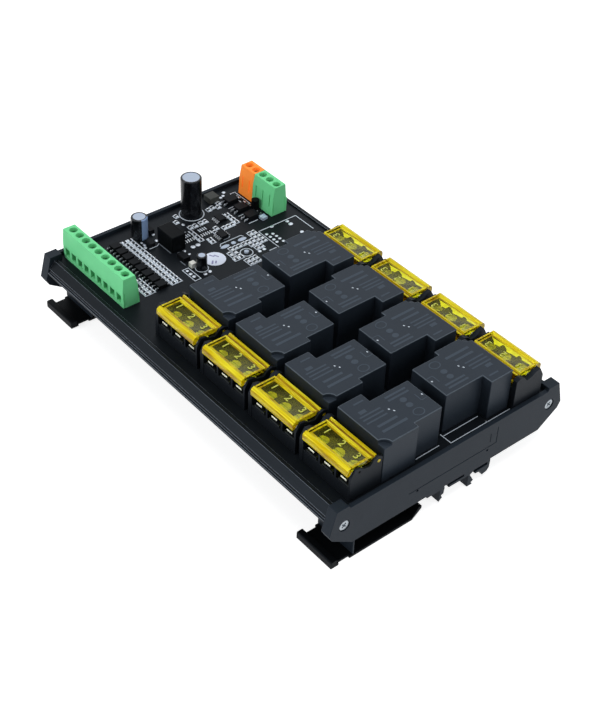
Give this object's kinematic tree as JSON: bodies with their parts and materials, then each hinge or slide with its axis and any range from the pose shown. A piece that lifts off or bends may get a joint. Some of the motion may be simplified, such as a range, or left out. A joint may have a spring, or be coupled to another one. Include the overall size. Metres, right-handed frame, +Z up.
{
  "type": "relay module board",
  "caption": "Relay output module on a rail-mounted plastic carrier, with screw terminals under hinged clear yellow covers and two sliding rail latches.",
  "frame": {"origin": "middle of the footprint of the end plates, on the plane that the rail latches rest on", "axes": "+X along the carrier to the end with the relays, +Y across it away from the rail latches, +Z up from the board"},
  "size_m": [0.2052, 0.128, 0.0483],
  "materials": {
    "profile_plastic": "satin black extrusion",
    "end_plate_plastic": "satin dark grey moulding",
    "latch_plastic": "satin black moulding",
    "board_laminate": "black solder mask",
    "relay_shell": "dark slate moulding",
    "terminal_plastic": "black moulding",
    "cover_clear": "clear yellow moulding",
    "zinc_plated_steel": "zinc plated",
    "tinned_steel": "bright tinned",
    "tinned_brass": "tinned",
    "green_plastic": "green moulding",
    "orange_plastic": "orange moulding",
    "capacitor_sleeve": "shrunk sleeve",
    "potting_black": "moulded case",
    "chip_resin": "moulded resin",
    "resistor_ceramic": "ceramic chip",
    "white_paper": "matt paper",
    "white_plastic": "white moulding",
    "led_lens": "clear lens",
    "inductor_resin": "resin"
  },
  "bodies": {
    "carrier": {"base_profile": "profile_plastic", "bus_optocouplers": "chip_resin", "bus_terminal_housing": "green_plastic", "capacitor_large": "capacitor_sleeve", "capacitor_medium": "capacitor_sleeve", "capacitor_small": "capacitor_sleeve", "circuit_board": "board_laminate", "converter_block": "potting_black", "diodes": "chip_resin", "end_plate_front": "end_plate_plastic", "end_plate_rear": "end_plate_plastic", "end_plate_screws": "zinc_plated_steel", "indicator_led": "led_lens", "input_optocouplers": "chip_resin", "input_resistors": "resistor_ceramic", "input_terminal_housing": "green_plastic", "inspection_sticker": "white_paper", "interface_chips": "chip_resin", "logic_chips": "chip_resin", "power_inductor": "inductor_resin", "relay_1": "relay_shell", "relay_2": "relay_shell", "relay_3": "relay_shell", "relay_4": "relay_shell", "relay_5": "relay_shell", "relay_6": "relay_shell", "relay_7": "relay_shell", "relay_8": "relay_shell", "small_terminal_cages": "tinned_steel", "small_terminal_screws": "zinc_plated_steel", "sounder": "potting_black", "supply_terminal_housing": "orange_plastic", "terminal_clamps": "tinned_steel", "terminal_contacts": "tinned_brass", "terminal_housing_1": "terminal_plastic", "terminal_housing_2": "terminal_plastic", "terminal_housing_3": "terminal_plastic", "terminal_housing_4": "terminal_plastic", "terminal_housing_5": "terminal_plastic", "terminal_housing_6": "terminal_plastic", "terminal_housing_7": "terminal_plastic", "terminal_housing_8": "terminal_plastic", "terminal_screws": "zinc_plated_steel", "white_connector": "white_plastic"},
    "cover_1": {"terminal_cover_1": "cover_clear"},
    "cover_2": {"terminal_cover_2": "cover_clear"},
    "cover_3": {"terminal_cover_3": "cover_clear"},
    "cover_4": {"terminal_cover_4": "cover_clear"},
    "cover_5": {"terminal_cover_5": "cover_clear"},
    "cover_6": {"terminal_cover_6": "cover_clear"},
    "cover_7": {"terminal_cover_7": "cover_clear"},
    "cover_8": {"terminal_cover_8": "cover_clear"},
    "latch_front": {"rail_latch_front": "latch_plastic"},
    "latch_rear": {"rail_latch_rear": "latch_plastic"}
  },
  "joints": [
    {"name": "cover_1_hinge", "type": "hinge", "parent": "carrier", "child": "cover_1", "pos_m": [0.085, -0.03735, 0.0406], "axis": [-1, 0, 0], "range_deg": [0, 44]},
    {"name": "cover_2_hinge", "type": "hinge", "parent": "carrier", "child": "cover_2", "pos_m": [0.0527, -0.03735, 0.0406], "axis": [-1, 0, 0], "range_deg": [0, 44]},
    {"name": "cover_3_hinge", "type": "hinge", "parent": "carrier", "child": "cover_3", "pos_m": [0.0204, -0.03735, 0.0406], "axis": [-1, 0, 0], "range_deg": [0, 44]},
    {"name": "cover_4_hinge", "type": "hinge", "parent": "carrier", "child": "cover_4", "pos_m": [-0.0119, -0.03735, 0.0406], "axis": [-1, 0, 0], "range_deg": [0, 44]},
    {"name": "cover_5_hinge", "type": "hinge", "parent": "carrier", "child": "cover_5", "pos_m": [0.084, 0.03735, 0.0406], "axis": [1, 0, 0], "range_deg": [0, 44]},
    {"name": "cover_6_hinge", "type": "hinge", "parent": "carrier", "child": "cover_6", "pos_m": [0.0517, 0.03735, 0.0406], "axis": [1, 0, 0], "range_deg": [0, 44]},
    {"name": "cover_7_hinge", "type": "hinge", "parent": "carrier", "child": "cover_7", "pos_m": [0.0194, 0.03735, 0.0406], "axis": [1, 0, 0], "range_deg": [0, 44]},
    {"name": "cover_8_hinge", "type": "hinge", "parent": "carrier", "child": "cover_8", "pos_m": [-0.0129, 0.03735, 0.0406], "axis": [1, 0, 0], "range_deg": [0, 44]},
    {"name": "latch_front_slide", "type": "slide", "parent": "carrier", "child": "latch_front", "axis": [0, -1, 0], "range_m": [0, 0.003]},
    {"name": "latch_rear_slide", "type": "slide", "parent": "carrier", "child": "latch_rear", "axis": [0, -1, 0], "range_m": [0, 0.003]}
  ]
}
